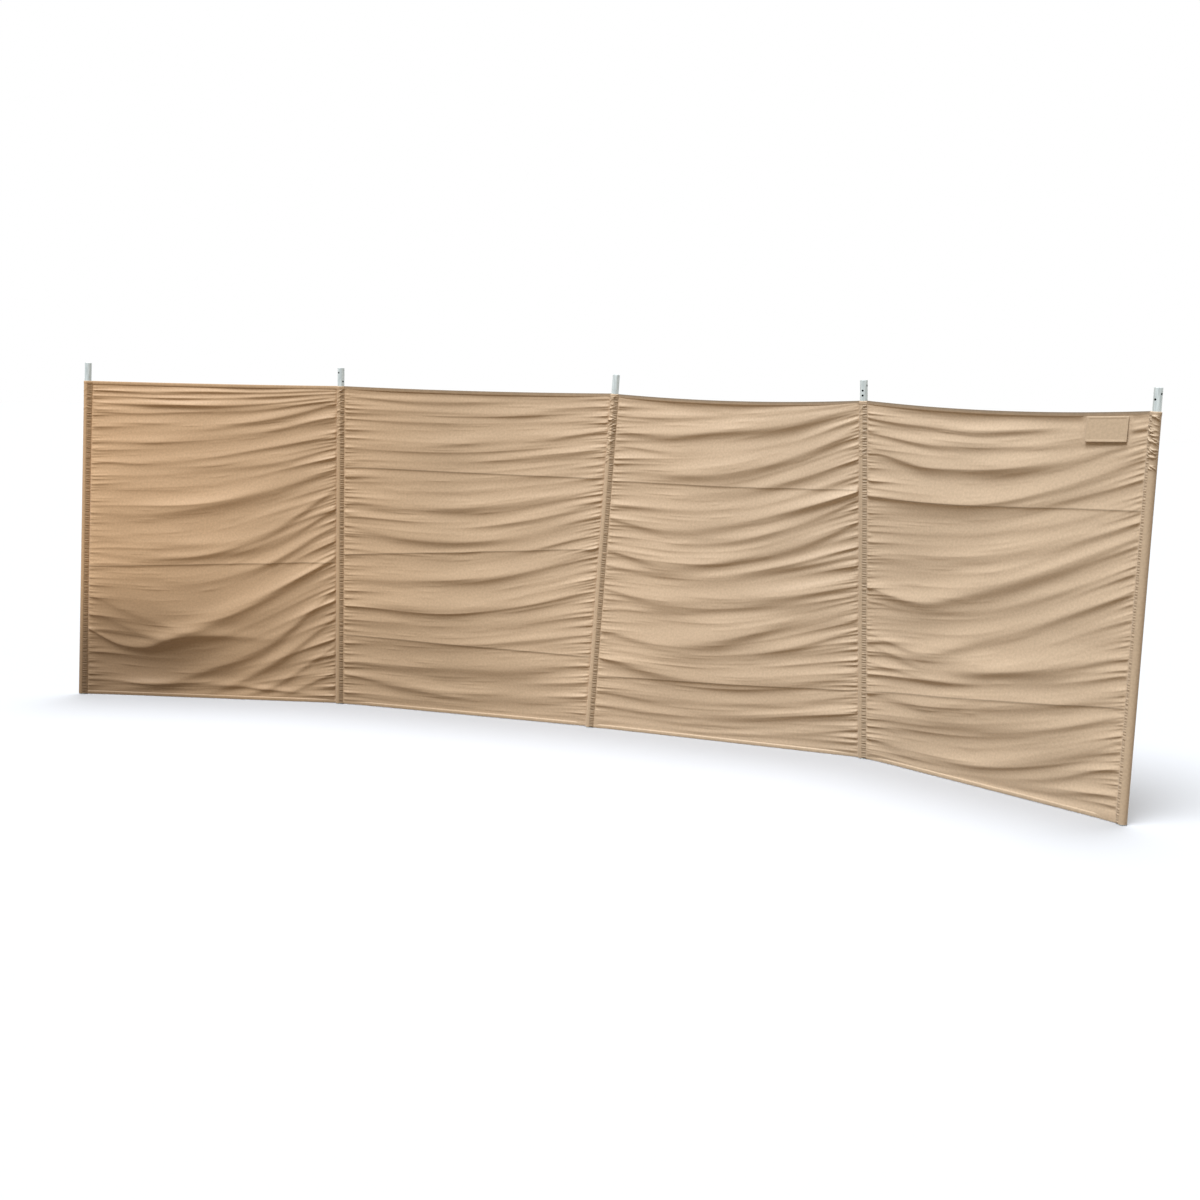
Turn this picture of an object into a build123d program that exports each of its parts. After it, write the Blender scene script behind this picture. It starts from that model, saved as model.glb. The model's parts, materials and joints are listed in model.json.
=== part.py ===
"""Beach windbreak: a strip of cloth in four bays, sewn into sleeves on five tube poles that stand in the
ground.

Millimetres. The origin is the foot of the middle pole, on the ground. +Z is up, +X runs along the strip from
the first pole to the last, and +Y points to the back, away from the side that is sheltered.
"""
import os
from math import cos, log, pi, radians, sin, tan

from build123d import *

os.makedirs("parts", exist_ok=True)

# Stance: how the strip is set up on the ground
bay_width = 1010.0
bay_headings = (19.5, 5.5, 1.0, -26.5)  # plan direction of each bay, degrees from +X
pole_leans = ((1.5, 1.5), (0, 0.5), (3, 1), (-2, -1), (1, 0))  # degrees towards +X and +Y
ground_gap = 3.0  # from the ground to the bottom of the cloth

# Poles
pole_diameter = 25.0
pole_wall = 1.2
pole_projection = 67.0  # bare pole above the cloth
rim_chamfer = 0.4
drill_diameter = 7.0
drill_first = 17.5  # from the tip to the first row of holes
drill_pitch = 16.0
# Row and facing of every hole, through the wall on that side, with the facing in degrees from +X
pole_drillings = ((), ((0, -104), (2, -20)), (), ((0, -16), (1, -93), (2, -93)), ((0, -31), (1, -117)))

# Cloth
fabric_height = 1200.0
cloth_thickness = 1.5
sleeve_clearance = 0.3
seam_width = 5.0
seam_gap = 0.1  # between a panel and the seams and hems that it is sewn to
hem_height = 12.0
hem_thickness = 3.0
sag_shares = (0.002, 0.005, 0.013, 0.016)  # dip of each bay's top edge, of the bay width

# Slack cloth: each bay fills out to the front and hangs in swags between its seams
belly_depths = (45.0, 18.0, 16.0, 16.0)
belly_shares = ((0.34, 0.78), (0.5, 0.8), (0.4, 0.78), (0.5, 0.7))  # fullest place across and down a bay
swag_depth = 10.0  # from a crest to the hollow under it
swag_hollow_share = 0.4  # place of a hollow on the way down to the next crest
# Crests of each bay, as shares of the way down the panel at its left seam, its middle and its right seam
swag_shares = (
    ((0.25, 0.23, 0.15), (0.41, 0.38, 0.25), (0.55, 0.53, 0.38), (0.80, 0.77, 0.55)),
    ((0.17, 0.16, 0.11), (0.40, 0.40, 0.31), (0.63, 0.62, 0.51), (0.87, 0.86, 0.81)),
    ((0.16, 0.14, 0.05), (0.37, 0.37, 0.27), (0.58, 0.58, 0.51), (0.78, 0.78, 0.70)),
    ((0.21, 0.20, 0.09), (0.50, 0.46, 0.30), (0.68, 0.68, 0.58), (0.90, 0.88, 0.78)),
)
swag_seam_share = 0.1  # of that depth left at the seams, where the cloth is gathered
section_shares = (0, 0.25, 0.5, 0.75, 1)  # places across a bay where its section is drawn

# Patch under the top hem of the last bay
patch_bay = 3
patch_width = 130.0
patch_height = 75.0
patch_thickness = 1.0
patch_gap = 0.4
patch_inset = 80.0  # from the axis of the last pole to the patch
patch_lean = 8.0  # degrees that it hangs out from the cloth

# Sizes that follow from these
pole_radius = pole_diameter / 2
pole_length = fabric_height + pole_projection
sleeve_bore = pole_radius + sleeve_clearance
sleeve_radius = sleeve_bore + cloth_thickness
seam_reach = sleeve_radius + seam_width
bay_inset = seam_reach + seam_gap
cloth_length = fabric_height - ground_gap


def pole_feet():
    """Feet of the poles, stepped along the bays, with the middle one at the origin."""
    feet = [Vector(0, 0, 0)]
    for heading in bay_headings:
        along = Vector(cos(radians(heading)), sin(radians(heading)), 0)
        feet.append(feet[-1] + along * bay_width)
    middle = feet[len(feet) // 2]
    return [foot - middle for foot in feet]


feet = pole_feet()
axes = [Vector(tan(radians(x)), tan(radians(y)), 1).normalized() for x, y in pole_leans]


def square_to(axis, direction):
    """The direction, turned square to an axis."""
    return (direction - axis * direction.dot(axis)).normalized()


def pole_plane(pole, height):
    """Plane square to a pole, at a height along it."""
    axis = axes[pole]
    return Plane(feet[pole] + axis * height, x_dir=square_to(axis, Vector(1, 0, 0)), z_dir=axis)


def seam_plane(pole, other):
    """Plane square to a pole at the bottom of the cloth, with X towards another pole."""
    axis = axes[pole]
    towards = square_to(axis, feet[other] - feet[pole])
    return Plane(feet[pole] + axis * ground_gap, x_dir=towards, z_dir=axis)


def seam_point(pole, other, height):
    """Point where the cloth of a bay meets a pole's seam, at a height along the pole."""
    return seam_plane(pole, other).from_local_coords((bay_inset, 0, height - ground_gap))


def bay_line(bay, height):
    """Straight line across a bay, from seam to seam."""
    return Edge.make_line(seam_point(bay, bay + 1, height), seam_point(bay + 1, bay, height))


def bay_dip(bay, height):
    """Line across a bay that dips in the middle, as its top edge does."""
    left = seam_point(bay, bay + 1, height)
    right = seam_point(bay + 1, bay, height)
    dip = Vector(0, 0, sag_shares[bay] * bay_width)
    return Edge.make_three_point_arc(left, (left + right) * 0.5 - dip, right)


def swell(share, fullest_share):
    """Rise from 0 to 1 and back, over shares from 0 to 1, with its top at the fullest one."""
    return sin(pi * share ** log(0.5, fullest_share))


def crest_share(crest, across):
    """Place of a crest down a panel, on a parabola through its three places."""
    left, middle, right = crest
    return left + across * (4 * middle - 3 * left - right) + 2 * across**2 * (left + right - 2 * middle)


def slack_points(bay, across, height):
    """Section of a panel, from its top edge down: crests of swags, with a hollow under each but the last."""
    crests = [crest_share(crest, across) for crest in swag_shares[bay]]
    stops = [(crests[0], swag_depth / 2)]
    for upper, lower in zip(crests, crests[1:]):
        stops.append((upper + swag_hollow_share * (lower - upper), -swag_depth / 2))
        stops.append((lower, swag_depth / 2))
    side, fullest = belly_shares[bay]
    loose_share = max(swell(across, 0.5), swag_seam_share)
    points = [(0, height)]
    for down, swag in stops:
        out = belly_depths[bay] * swell(across, side) * swell(down, fullest) + swag * loose_share
        points.append((out, height * (1 - down)))
    return [*points, (0, 0)]


def panel_outline(bay, across, height):
    """Outline of a panel's section, down its front and up its back."""
    line = slack_points(bay, across, height)
    near = [(out + cloth_thickness / 2, rise) for out, rise in line]
    far = [(out - cloth_thickness / 2, rise) for out, rise in reversed(line)]
    return near + far


def hem_outline(bottom):
    """Outline of a hem's section, from its bottom edge up."""
    half = hem_thickness / 2
    return [(-half, bottom), (half, bottom), (half, bottom + hem_height), (-half, bottom + hem_height)]


def section_plane(bottom, top, front):
    """Plane across a panel at two points of its edges, with X to the front and Y up the cloth."""
    up = (top - bottom).normalized()
    return Plane(bottom, x_dir=square_to(up, front), z_dir=square_to(up, front).cross(up))


def sew_across(name, bay, outline):
    """Loft a piece of cloth across a bay, from seam to seam, through its outline at each section."""
    panel_bottom = bay_line(bay, ground_gap + hem_height + seam_gap)
    panel_top = bay_dip(bay, fabric_height - hem_height - seam_gap)
    front = (feet[bay + 1] - feet[bay]).cross(axes[bay] + axes[bay + 1])
    with BuildPart() as piece:
        for across in section_shares:
            bottom = panel_bottom.position_at(across)
            top = panel_top.position_at(across)
            with BuildSketch(section_plane(bottom, top, front)):
                with BuildLine():
                    Polyline(*outline(across, (top - bottom).length), close=True)
                make_face()
        loft()
    piece.part.label = name
    export_step(piece.part, f"parts/{name}.step")


# Poles: tubes cut level at the ground, with each hole drilled through one wall
for pole, drillings in enumerate(pole_drillings):
    with BuildPart() as tube:
        with BuildSketch(pole_plane(pole, -pole_radius)):
            Circle(pole_radius)
            Circle(pole_radius - pole_wall, mode=Mode.SUBTRACT)
        extrude(amount=pole_radius + pole_length)
        split(bisect_by=Plane.XY, keep=Keep.TOP)
        chamfer(tube.edges().group_by(Axis.Z)[-1], rim_chamfer)
        for row, facing in drillings:
            depth = drill_first + row * drill_pitch
            outward = square_to(axes[pole], Vector(cos(radians(facing)), sin(radians(facing)), 0))
            with BuildSketch(Plane(feet[pole] + axes[pole] * (pole_length - depth), z_dir=outward)):
                Circle(drill_diameter / 2)
            extrude(amount=pole_diameter, mode=Mode.SUBTRACT)
    tube.part.label = f"pole_{pole + 1}"
    export_step(tube.part, f"parts/pole_{pole + 1}.step")

# Sleeves: a tube of cloth round each pole, with a sewn tab towards each bay beside it
for pole in range(len(feet)):
    with BuildPart() as sleeve:
        with BuildSketch(pole_plane(pole, ground_gap)):
            Circle(sleeve_radius)
        extrude(amount=cloth_length)
        for other in (pole - 1, pole + 1):
            if 0 <= other < len(feet):
                with BuildSketch(seam_plane(pole, other)):
                    Rectangle(seam_reach, hem_thickness, align=(Align.MIN, Align.CENTER))
                extrude(amount=cloth_length)
        with BuildSketch(pole_plane(pole, ground_gap)):
            Circle(sleeve_bore)
        extrude(amount=cloth_length, mode=Mode.SUBTRACT)
    sleeve.part.label = f"sleeve_{pole + 1}"
    export_step(sleeve.part, f"parts/sleeve_{pole + 1}.step")

# Panels, and the hems along their bottom and top edges
for bay in range(len(bay_headings)):
    sew_across(f"panel_{bay + 1}", bay, lambda across, height: panel_outline(bay, across, height))
    sew_across(f"bottom_hem_{bay + 1}", bay, lambda across, height: hem_outline(-seam_gap - hem_height))
    sew_across(f"top_hem_{bay + 1}", bay, lambda across, height: hem_outline(height + seam_gap))

# Patch: a small flat piece in front of the cloth, hung under the top hem and leaning out
patch_share = 1 - (patch_inset + patch_width / 2 - bay_inset) / (bay_width - 2 * bay_inset)
patch_hem = bay_dip(patch_bay, fabric_height - hem_height)
patch_top = patch_hem.position_at(patch_share)
patch_across = patch_hem.tangent_at(patch_share)
patch_rise = patch_top - bay_line(patch_bay, ground_gap + hem_height).position_at(patch_share)
patch_front = patch_across.cross(patch_rise).normalized()
patch_normal = patch_front + patch_front.cross(patch_across) * tan(radians(patch_lean))
patch_back = patch_top + patch_front * (cloth_thickness / 2 + patch_gap)
with BuildPart() as patch:
    with BuildSketch(Plane(patch_back, x_dir=patch_across, z_dir=patch_normal)):
        with Locations((0, -patch_gap)):
            Rectangle(patch_width, patch_height, align=(Align.CENTER, Align.MAX))
    extrude(amount=patch_thickness)
patch.part.label = "label_patch"
export_step(patch.part, "parts/label_patch.step")
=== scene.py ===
"""Beach windbreak: the looks of its cloth, sewing and poles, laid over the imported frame. Metres."""
import json
import math

import bpy
import numpy as np
from mathutils import Matrix


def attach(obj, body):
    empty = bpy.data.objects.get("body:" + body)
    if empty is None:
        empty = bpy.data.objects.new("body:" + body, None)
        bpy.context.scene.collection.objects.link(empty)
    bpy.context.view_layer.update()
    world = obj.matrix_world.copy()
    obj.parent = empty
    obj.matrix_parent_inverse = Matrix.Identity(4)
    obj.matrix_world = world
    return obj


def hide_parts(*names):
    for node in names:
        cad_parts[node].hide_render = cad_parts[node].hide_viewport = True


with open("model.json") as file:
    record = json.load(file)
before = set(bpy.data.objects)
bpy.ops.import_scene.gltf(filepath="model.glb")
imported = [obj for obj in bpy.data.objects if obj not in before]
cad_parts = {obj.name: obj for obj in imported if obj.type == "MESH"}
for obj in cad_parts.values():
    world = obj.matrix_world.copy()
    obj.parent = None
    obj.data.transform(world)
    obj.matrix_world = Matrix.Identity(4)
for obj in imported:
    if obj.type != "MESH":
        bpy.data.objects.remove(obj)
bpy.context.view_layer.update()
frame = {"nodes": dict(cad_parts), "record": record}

POLES = 5
BAYS = POLES - 1
SEED = 7

# Fineness of the meshes; this share of the columns' steps is even, and the rest crowds them at the seams
ROWS = 600
COLUMNS = 120
EVEN_SHARE = 0.35
SLEEVE_ROWS = 700
PATCH_ROWS = 45
PATCH_COLUMNS = 79
# Points of a pole's mesh this far below its top are its rim
RIM_DEPTH = 0.009

# Cloth sizes
CLOTH_TOP = 1.200
CLOTH_BOTTOM = 0.003
CLOTH_HEIGHT = CLOTH_TOP - CLOTH_BOTTOM
GROUND_CLEARANCE = 0.0008
SLEEVE_RADIUS = 0.0146
TOP_SAGS = (0.002, 0.005, 0.013, 0.016)
# From a pole's axis to the cloth, on a side where its sleeve has no flat band
EDGE_REACH = 0.0137

# Hems, and their sections as shares of thickness and height; so many rows of cloth show which way is inwards
HEM_HEIGHT = 0.012
HEM_THICKNESS = 0.0030
HEM_ROWS = 8
TOP_HEM_SHARES = ((-0.5, 0.0), (-0.36, 0.07), (0.36, 0.07), (0.5, 0.0), (0.5, -0.85), (0.32, -1.0),
                  (-0.32, -1.0), (-0.5, -0.85))
BOTTOM_HEM_SHARES = ((-0.3, 0.0), (-0.2, 0.07), (0.2, 0.07), (0.3, 0.0), (0.24, -0.6), (0.15, -1.0),
                     (-0.15, -1.0), (-0.24, -0.6))

# Side of each pole on which its sleeve is sewn down in a flat band, and the band's edge beside the axis and
# before it; the cloth next to it falls back over this length
BAND_SIDES = (1, 1, 1, 1, -1)
BAND_REACHES = (0.0210, 0.0190, 0.0175, 0.0220, 0.0185)
BAND_FRONT = 0.0060
BAND_FRONT_LENGTH = 0.050
# How far the cloth of a bay runs under that band, and how far behind it
BAND_LAP = 0.0025
BAND_SINK = 0.0012

# Size each bay and sleeve was cut to before it was gathered
BAY_CUT = (1.020, 1.270)

# Swag folds: depth in each bay, width over and under a crest, and the shares of the depth that droop and that
# lie behind the cloth's middle surface
FOLD_DEPTHS = (0.0120, 0.0102, 0.0158, 0.0172)
FOLD_UPPER = 0.046
FOLD_LOWER = 0.029
FOLD_DROOP_SHARE = 0.35
FOLD_MIDDLE_SHARE = 0.45
FOLD_BREADTH_POWER = 0.4
HANG_STEEPNESS = 4
# How far path, strength and width of a fold waver, and in how many waves across a bay
FOLD_STRAY_SHARE = 0.0018
FOLD_STRENGTH_STRAY_SHARE = 0.22
FOLD_WIDTH_STRAY_SHARE = 0.2
WAVER_TURNS = (0.8, 2.6)
# Crests are sharp at the seams and soft in the middle; folds are pinched to a share where they reach a seam
CREST_POWERS = (1.25, 1.8)
PINCH_SHARE = 0.26
PINCH_LENGTH = 0.24
PINCH_POWER = 0.8
# The hems and the seams hold the cloth flat this far
EDGE_HOLD = 0.018
BOTTOM_HOLD_SHARE = 0.9
SEAM_HOLD = 0.005

# Gathers that start at the seams: pitch, depth, width, length over which they rise, and length
GATHERS = (
    (0.0120, 0.0030, 0.0034, 0.001, 0.040),
    (0.0300, 0.0044, 0.0060, 0.010, 0.085),
    (0.0700, 0.0054, 0.0100, 0.030, 0.160),
)
# Length and depth of the gathers at the left and the right seam of each bay
GATHER_SIDE_SHARES = ((0.8, 1.1), (0.9, 1.0), (0.8, 1.1), (0.9, 0.8))
GATHER_START_SHARE = 0.25
GATHER_FADE_POWER = 1.4
GATHER_SPREAD_SHARE = 0.030
GATHER_UPPER_SHARE = 1.25
GATHER_LOWER_SHARE = 0.8
# Chance in their place, length, width and depth
GATHER_PLACE_SHARES = (0.1, 0.9)
GATHER_LENGTH_SPREAD = 0.45
GATHER_WIDTH_SHARES = (0.8, 1.2)
GATHER_DEPTH_SHARES = (0.35, 1.25)

# Two kinds of wrinkles inside a bay: number, depth and width, and shortest and longest reach across the bay
WRINKLES = ((40, 0.0034, 0.014), (300, 0.0010, 0.0055))
WRINKLE_REACH_SHARES = ((0.08, 0.30), (0.02, 0.09))
WRINKLE_UPPER_SHARE = 1.4
WRINKLE_LOWER_SHARE = 0.7
# Chance in their place down and across the bay, width and depth
WRINKLE_MARGIN_SHARE = 0.1
WRINKLE_MIDDLE_SHARES = (0.02, 0.98)
WRINKLE_WIDTH_SHARES = (0.5, 1.5)
WRINKLE_DEPTH_SHARES = (0.3, 1.0)

# Fill of each bay: depth, its fullest place across the bay, its fullest place down it from seam to seam, and
# the share of the height over which it falls back under that
BELLY_DEPTHS = (0.046, 0.017, 0.016, 0.017)
BELLY_SIDE_SHARES = (0.25, 0.42, 0.42, 0.5)
BELLY_DOWN_SHARES = ((0.62, 0.72, 0.66), (0.68, 0.74, 0.80), (0.76, 0.77, 0.78), (0.78, 0.74, 0.70))
BELLY_FALL_SHARES = (0.27, 0.24, 0.22, 0.24)

# Sleeves, in degrees from the front: first and last angle and number of points, round the back and the front
SLEEVE_START = -265
SLEEVE_BACK = (SLEEVE_START, -100, 9)
SLEEVE_FRONT = (-92, 94, 32)
SLEEVE_LIP = 0.0022
# Flat band: where it starts, and where the cloth under it runs back to the tube
BAND_START = 12
BAND_BACK = (SLEEVE_START, -235)
FLAT_LIMIT = 0.1
# Two sewn lines
SLEEVE_SEAMS = (15, 67)
STITCH_DEPTH = 0.0008
STITCH_SPAN = 4
STITCH_INNER_SPAN = 6
# Share of the painted shade that the stitched lines get
STITCH_PAINTED_SHADE_SHARE = 0.7
# Puckers between them, with the chance in their place, lean, depth and width
LADDER_PITCH = 0.0080
LADDER_DEPTH = 0.0020
LADDER_WIDTH = 0.0022
LADDER_LEAN = 0.0020
LADDER_LEVEL_SHARE = 0.45
LADDER_PLACE_SHARES = (0.25, 0.75)
LADDER_LEAN_SHARES = (-0.4, 1)
LADDER_DEPTH_SHARES = (0.5, 1.1)
LADDER_WIDTH_SHARES = (0.8, 1.25)
# Slanting pleats near the top of each sleeve, with the chance in their facing, lean, width and depth
PLEAT_PITCH = 0.0042
PLEAT_LENGTHS = (0.10, 0.20, 0.24, 0.17, 0.15)
PLEAT_DEPTHS = (0.0008, 0.0016, 0.0026, 0.0014, 0.0040)
PLEAT_WIDTH = 0.0019
PLEAT_LEAN = 0.0120
PLEAT_SPAN = 34
PLEAT_FACINGS = (-60, 45)
PLEAT_LEAN_SHARES = (-0.3, 1)
PLEAT_WIDTH_SHARES = (0.8, 1.3)
PLEAT_DEPTH_SHARES = (0.4, 1.1)
# Hem at the top of a sleeve
HEM_LIFT = 0.0008
HEM_LIFT_SHARE = 0.8

# Creases left by folding the strip for storage, as shares of the height at the left seam and the right one
CREASE_SHARES = (((0.584, 0.55),), ((0.248, 0.25), (0.524, 0.46), (0.778, 0.788)),
                 ((0.254, 0.243), (0.843, 0.811)), ((0.262, 0.235), (0.807, 0.716)))
CREASE_WIDTH = 0.0030
CREASE_DEPTH = 0.0020
CREASE_REACH = (0.016, 0.004)

# Folds of each bay: a path, a strength and a width. Paths and strengths are given at even steps from the left
# seam to the right one: paths as shares of the cloth's height from its top edge, strengths as shares of the
# bay's FOLD_DEPTHS.
FOLD_SHARES = (
    (
        ((0.028, 0.027, 0.025, 0.020, 0.014), (0.9, 0.9, 0.8, 0.7, 0.6), 0.24),
        ((0.046, 0.046, 0.042, 0.034, 0.023), (0.5, 0.6, 0.6, 0.7, 0.6), 0.22),
        ((0.066, 0.068, 0.064, 0.053, 0.033), (0.9, 1.0, 0.9, 0.8, 0.7), 0.30),
        ((0.094, 0.095, 0.088, 0.070, 0.042), (0.4, 0.4, 0.3, 0.5, 0.6), 0.28),
        ((0.160, 0.155, 0.135, 0.100, 0.052), (0.0, 0.1, 0.4, 0.7, 0.7), 0.50),
        ((0.190, 0.180, 0.160, 0.139, 0.087), (0.1, 0.1, 0.2, 0.5, 0.7), 0.42),
        ((0.250, 0.250, 0.230, 0.190, 0.149), (0.6, 0.4, 0.2, 0.5, 0.6), 0.40),
        ((0.300, 0.290, 0.270, 0.240, 0.190), (0.2, 0.1, 0.2, 0.5, 0.6), 0.42),
        ((0.413, 0.408, 0.380, 0.322, 0.246), (0.4, 0.5, 0.6, 0.8, 0.6), 1.00),
        ((0.490, 0.505, 0.500, 0.447, 0.316), (0.1, 0.4, 0.5, 0.5, 0.6), 0.80),
        ((0.544, 0.546, 0.532, 0.495, 0.378), (0.2, 0.5, 0.4, 0.5, 0.6), 0.70),
        ((0.640, 0.640, 0.620, 0.550, 0.427), (0.0, 0.0, 0.3, 0.6, 0.6), 0.65),
        ((0.673, 0.745, 0.790, 0.740, 0.600), (0.3, 0.2, 0.0, 0.0, 0.0), 0.60),
        ((0.714, 0.800, 0.815, 0.760, 0.650), (0.2, 0.3, 0.1, 0.0, 0.0), 0.75),
        ((0.830, 0.815, 0.757, 0.651, 0.530), (0.0, 0.1, 0.6, 0.8, 0.7), 0.85),
        ((0.784, 0.832, 0.835, 0.798, 0.790, 0.795, 0.800, 0.800, 0.800),
         (1.1, 1.4, 1.5, 1.2, 0.9, 0.4, 0.1, 0.0, 0.0), 0.62),
        ((1.000, 0.966, 0.907, 0.810, 0.630), (0.0, 0.5, 0.7, 0.8, 0.6), 0.90),
        ((1.020, 1.010, 0.980, 0.880, 0.724), (0.0, 0.0, 0.4, 0.7, 0.6), 0.70),
        ((1.020, 1.020, 1.010, 0.955, 0.814), (0.0, 0.0, 0.1, 0.5, 0.6), 0.60),
        ((1.020, 1.020, 1.010, 0.990, 0.900), (0.0, 0.0, 0.0, 0.3, 0.6), 0.45),
        ((0.970, 0.958, 0.953, 0.965, 0.980), (0.2, 0.4, 0.6, 0.5, 0.0), 0.35),
    ),
    (
        ((0.030, 0.035, 0.035, 0.025, 0.014), (0.6, 0.5, 0.3, 0.2, 0.2), 0.38),
        ((0.065, 0.068, 0.065, 0.055, 0.032), (0.7, 0.5, 0.3, 0.3, 0.3), 0.42),
        ((0.098, 0.100, 0.100, 0.090, 0.070), (0.7, 0.4, 0.1, 0.1, 0.2), 0.38),
        ((0.175, 0.175, 0.155, 0.135, 0.108), (0.3, 0.4, 0.5, 0.7, 0.8), 0.65),
        ((0.220, 0.220, 0.215, 0.195, 0.170), (0.4, 0.2, 0.2, 0.4, 0.6), 0.50),
        ((0.295, 0.285, 0.270, 0.250, 0.225), (0.3, 0.2, 0.2, 0.3, 0.4), 0.50),
        ((0.355, 0.360, 0.355, 0.330, 0.275), (0.6, 0.7, 0.7, 0.6, 0.5), 0.80),
        ((0.400, 0.410, 0.415, 0.380, 0.315), (0.0, 0.1, 0.2, 0.5, 0.5), 0.60),
        ((0.430, 0.450, 0.455, 0.425, 0.345), (0.5, 0.7, 0.7, 0.5, 0.4), 0.90),
        ((0.505, 0.508, 0.505, 0.470, 0.405), (0.4, 0.2, 0.1, 0.3, 0.5), 0.55),
        ((0.600, 0.590, 0.575, 0.535, 0.455), (0.7, 0.8, 0.7, 0.5, 0.4), 0.75),
        ((0.670, 0.672, 0.665, 0.635, 0.570), (0.3, 0.8, 0.9, 0.7, 0.5), 0.90),
        ((0.740, 0.735, 0.720, 0.690, 0.640), (0.2, 0.1, 0.2, 0.4, 0.5), 0.60),
        ((0.790, 0.785, 0.780, 0.755, 0.715), (0.4, 0.3, 0.2, 0.3, 0.4), 0.60),
        ((0.865, 0.865, 0.855, 0.840, 0.810), (0.7, 0.7, 0.5, 0.6, 0.5), 0.90),
        ((0.900, 0.930, 0.945, 0.940, 0.925), (0.5, 0.7, 0.6, 0.4, 0.3), 0.70),
        ((0.972, 0.978, 0.982, 0.980, 0.970), (0.3, 0.2, 0.2, 0.2, 0.3), 0.40),
    ),
    (
        ((0.062, 0.055, 0.040, 0.022, 0.006), (0.5, 0.3, 0.1, 0.2, 0.3), 0.40),
        ((0.105, 0.105, 0.082, 0.058, 0.014), (0.5, 0.9, 0.9, 0.8, 0.5), 0.80),
        ((0.150, 0.155, 0.140, 0.110, 0.045), (0.4, 0.3, 0.1, 0.2, 0.4), 0.50),
        ((0.220, 0.220, 0.200, 0.155, 0.068), (0.1, 0.5, 0.8, 0.8, 0.5), 1.05),
        ((0.300, 0.290, 0.265, 0.220, 0.155), (0.1, 0.1, 0.3, 0.6, 0.5), 0.80),
        ((0.320, 0.325, 0.310, 0.270, 0.205), (0.3, 0.3, 0.2, 0.2, 0.4), 0.60),
        ((0.365, 0.385, 0.355, 0.305, 0.245), (0.3, 0.5, 0.8, 0.9, 1.3), 0.85),
        ((0.430, 0.430, 0.405, 0.350, 0.268), (0.1, 0.2, 0.5, 0.7, 0.8), 0.70),
        ((0.460, 0.485, 0.460, 0.410, 0.335), (0.4, 0.8, 0.9, 0.7, 0.5), 0.95),
        ((0.505, 0.515, 0.505, 0.460, 0.400), (0.5, 0.4, 0.2, 0.3, 0.4), 0.50),
        ((0.540, 0.540, 0.520, 0.470, 0.430), (0.0, 0.1, 0.3, 0.5, 0.5), 0.60),
        ((0.575, 0.595, 0.575, 0.550, 0.510), (0.5, 0.6, 0.6, 0.7, 1.0), 0.90),
        ((0.640, 0.625, 0.605, 0.575, 0.540), (0.3, 0.2, 0.2, 0.5, 0.6), 0.55),
        ((0.700, 0.725, 0.690, 0.635, 0.577), (0.4, 0.6, 0.7, 0.7, 0.5), 1.05),
        ((0.755, 0.760, 0.745, 0.700, 0.635), (0.3, 0.2, 0.2, 0.4, 0.5), 0.60),
        ((0.780, 0.815, 0.820, 0.800, 0.765), (0.5, 0.5, 0.4, 0.4, 0.5), 0.85),
        ((0.890, 0.895, 0.885, 0.862, 0.825), (0.3, 0.3, 0.3, 0.3, 0.4), 0.60),
        ((0.930, 0.937, 0.930, 0.905, 0.865), (0.3, 0.3, 0.3, 0.4, 0.5), 0.65),
        ((0.980, 0.980, 0.975, 0.955, 0.922), (0.2, 0.2, 0.2, 0.3, 0.5), 0.45),
    ),
    (
        ((0.045, 0.055, 0.055, 0.042, 0.025), (0.7, 0.6, 0.4, 0.2, 0.2), 0.45),
        ((0.085, 0.098, 0.093, 0.075, 0.040), (0.5, 0.5, 0.6, 0.3, 0.3), 0.60),
        ((0.135, 0.157, 0.150, 0.118, 0.060), (0.4, 0.7, 0.8, 0.6, 0.4), 0.85),
        ((0.255, 0.247, 0.235, 0.185, 0.105), (0.9, 0.5, 0.5, 0.6, 0.5), 1.15),
        ((0.300, 0.290, 0.265, 0.220, 0.160), (0.2, 0.1, 0.1, 0.4, 0.5), 0.60),
        ((0.350, 0.340, 0.320, 0.275, 0.210), (0.2, 0.1, 0.1, 0.2, 0.4), 0.50),
        ((0.420, 0.420, 0.385, 0.330, 0.260), (0.2, 0.1, 0.3, 0.6, 0.6), 0.85),
        ((0.510, 0.525, 0.465, 0.390, 0.300), (1.0, 0.8, 0.7, 0.7, 0.5), 1.05),
        ((0.550, 0.555, 0.520, 0.455, 0.365), (0.4, 0.3, 0.2, 0.4, 0.4), 0.55),
        ((0.640, 0.665, 0.600, 0.520, 0.425), (0.2, 0.4, 0.4, 0.4, 0.5), 0.70),
        ((0.670, 0.700, 0.685, 0.645, 0.585), (0.4, 0.3, 0.7, 0.8, 0.7), 0.95),
        ((0.720, 0.735, 0.720, 0.685, 0.635), (0.5, 0.3, 0.1, 0.3, 0.5), 0.55),
        ((0.815, 0.810, 0.772, 0.735, 0.675), (0.2, 0.4, 0.5, 0.3, 0.3), 1.05),
        ((0.875, 0.865, 0.835, 0.800, 0.735), (0.3, 0.4, 0.4, 0.3, 0.4), 0.80),
        ((0.935, 0.955, 0.935, 0.880, 0.795), (0.4, 0.4, 0.5, 0.5, 0.5), 0.95),
        ((0.982, 0.985, 0.970, 0.930, 0.860), (0.2, 0.3, 0.3, 0.3, 0.4), 0.55),
        ((1.000, 0.995, 0.985, 0.965, 0.930), (0.0, 0.0, 0.1, 0.3, 0.5), 0.45),
    ),
)

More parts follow.
